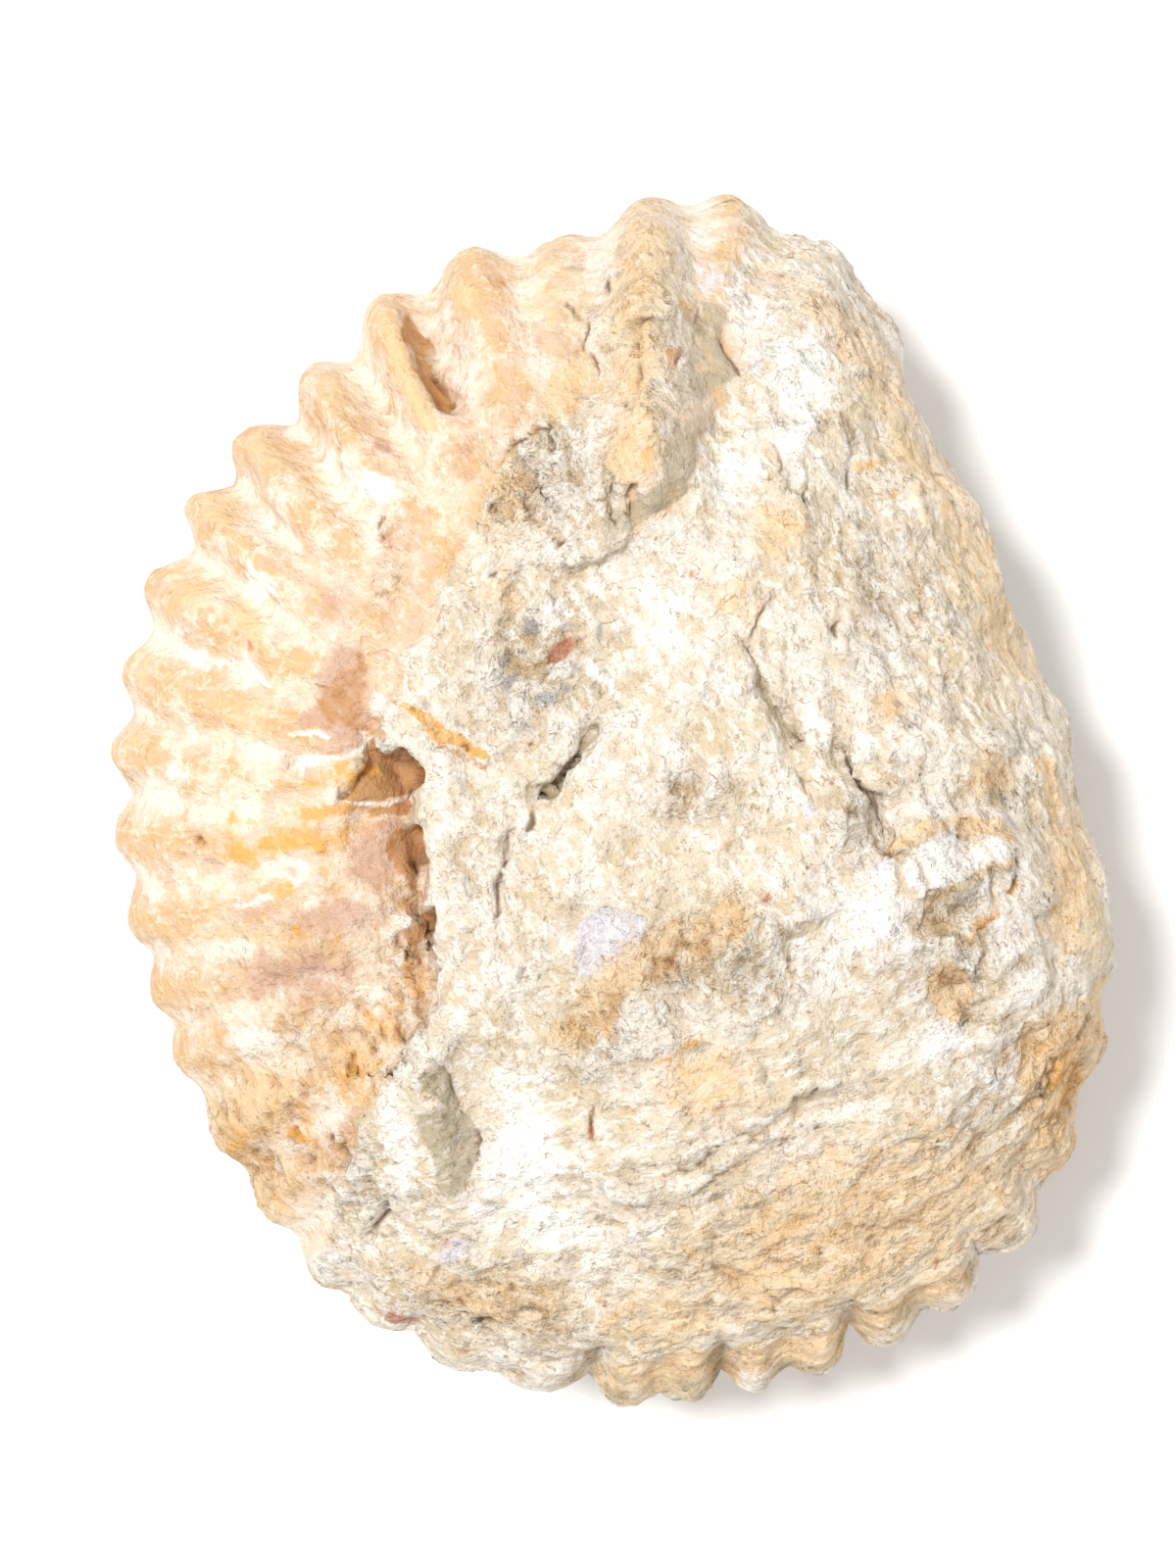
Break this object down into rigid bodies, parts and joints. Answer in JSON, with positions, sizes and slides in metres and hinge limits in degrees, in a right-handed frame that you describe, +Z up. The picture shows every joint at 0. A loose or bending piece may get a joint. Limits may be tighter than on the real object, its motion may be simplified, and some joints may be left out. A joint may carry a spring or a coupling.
{
  "type": "fossil ammonite",
  "caption": "Ribbed, flat-coiled ammonite fossil with a slab of pale limestone matrix over most of its upper flank, lying on its other, worn flank.",
  "frame": {"origin": "middle of the bounding box, on the surface that the fossil lies on", "axes": "+Z up, out of the rock-covered flank; +Y along the long way of the disc, towards the ochre ridge; +X towards the broken, nearly straight edge"},
  "size_m": [0.113, 0.136, 0.06],
  "materials": {
    "limestone": "matt, rough cream and ochre limestone"
  },
  "bodies": {
    "root": {"ammonite": "limestone"}
  },
  "joints": []
}
